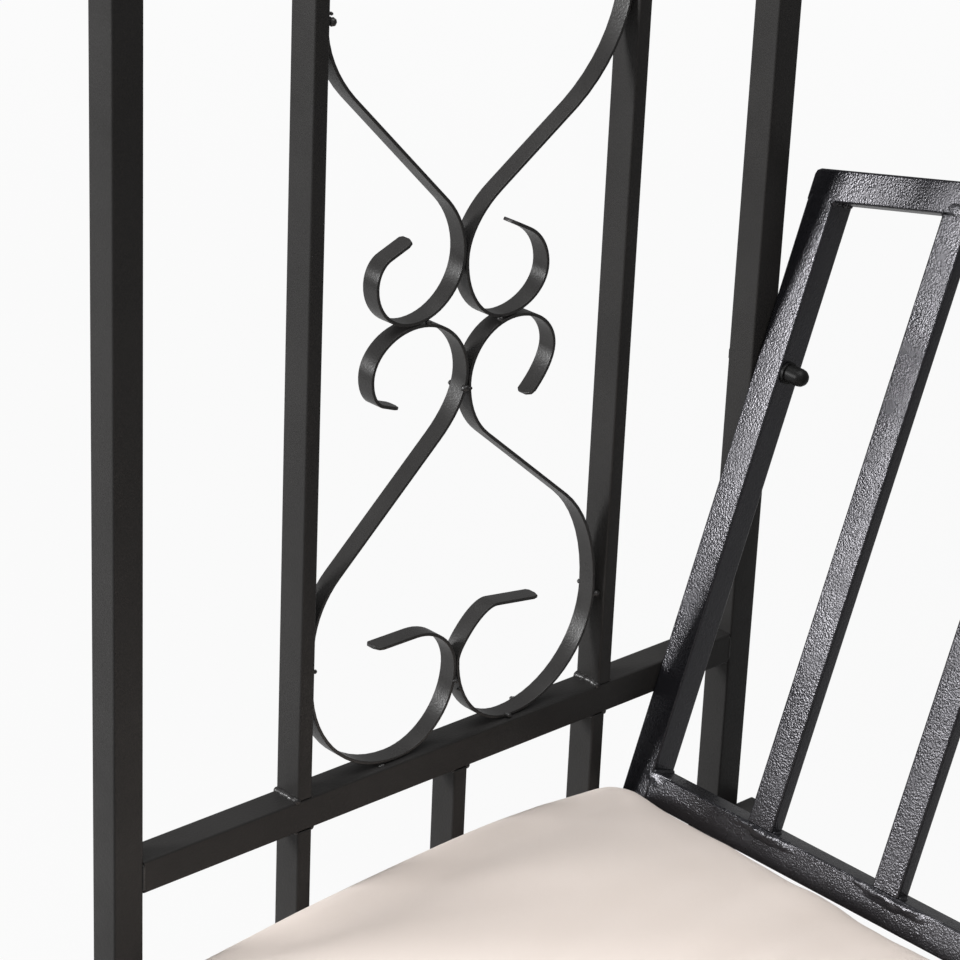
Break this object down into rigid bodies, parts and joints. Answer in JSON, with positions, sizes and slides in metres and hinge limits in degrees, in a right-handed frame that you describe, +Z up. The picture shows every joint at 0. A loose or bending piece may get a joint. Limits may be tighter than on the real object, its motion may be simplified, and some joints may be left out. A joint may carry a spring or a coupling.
{
  "type": "garden arch bench",
  "caption": "Garden bench under an arch: scrolled steel side panels rise into a rounded arch over a slatted seat and back, with a full-width seat cushion.",
  "frame": {"origin": "on the ground, at the middle of the bench's width and depth", "axes": "+Z up; the sitter faces -Y; +X runs across the bench. Left and right in node names are as seen from the front, so left is -X."},
  "size_m": [1.1696, 0.5914, 2.0708],
  "materials": {
    "frame_coat": "satin black powder coat",
    "back_coat": "black powder coat with a glossy orange-peel grain",
    "black_fixing": "black coated steel, semi-gloss",
    "cushion_cover": "plain woven polyester, cream"
  },
  "bodies": {
    "root": {"left_front_post": "frame_coat", "left_rear_post": "frame_coat", "left_ground_rail": "frame_coat", "left_armrest_rail": "frame_coat", "left_upper_rail": "frame_coat", "left_front_inner_bar": "frame_coat", "left_rear_inner_bar": "frame_coat", "left_lower_front_bar": "frame_coat", "left_lower_middle_bar": "frame_coat", "left_lower_rear_bar": "frame_coat", "left_lower_front_scroll": "frame_coat", "left_lower_rear_scroll": "frame_coat", "left_upper_front_scroll": "frame_coat", "left_upper_rear_scroll": "frame_coat", "right_front_post": "frame_coat", "right_rear_post": "frame_coat", "right_ground_rail": "frame_coat", "right_armrest_rail": "frame_coat", "right_upper_rail": "frame_coat", "right_front_inner_bar": "frame_coat", "right_rear_inner_bar": "frame_coat", "right_lower_front_bar": "frame_coat", "right_lower_middle_bar": "frame_coat", "right_lower_rear_bar": "frame_coat", "right_lower_front_scroll": "frame_coat", "right_lower_rear_scroll": "frame_coat", "right_upper_front_scroll": "frame_coat", "right_upper_rear_scroll": "frame_coat", "arch_front_tube": "frame_coat", "arch_rear_tube": "frame_coat", "arch_left_rung_1": "frame_coat", "arch_left_rung_2": "frame_coat", "arch_left_rung_3": "frame_coat", "arch_right_rung_1": "frame_coat", "arch_right_rung_2": "frame_coat", "arch_right_rung_3": "frame_coat", "seat_front_rail": "frame_coat", "seat_rear_rail": "frame_coat", "seat_left_rail": "frame_coat", "seat_right_rail": "frame_coat", "seat_slats": "frame_coat", "back_bottom_rail": "back_coat", "back_left_stile": "back_coat", "back_right_stile": "back_coat", "back_top_rail": "back_coat", "back_slat_1": "back_coat", "back_slat_2": "back_coat", "back_slat_3": "back_coat", "back_slat_4": "back_coat", "back_slat_5": "back_coat", "back_slat_6": "back_coat", "back_slat_7": "back_coat", "back_slat_8": "back_coat", "back_slat_9": "back_coat", "back_slat_10": "back_coat", "back_left_bolt": "black_fixing", "back_right_bolt": "black_fixing", "back_left_dome_nut": "black_fixing", "back_right_dome_nut": "black_fixing", "seat_cushion": "cushion_cover"}
  },
  "joints": []
}
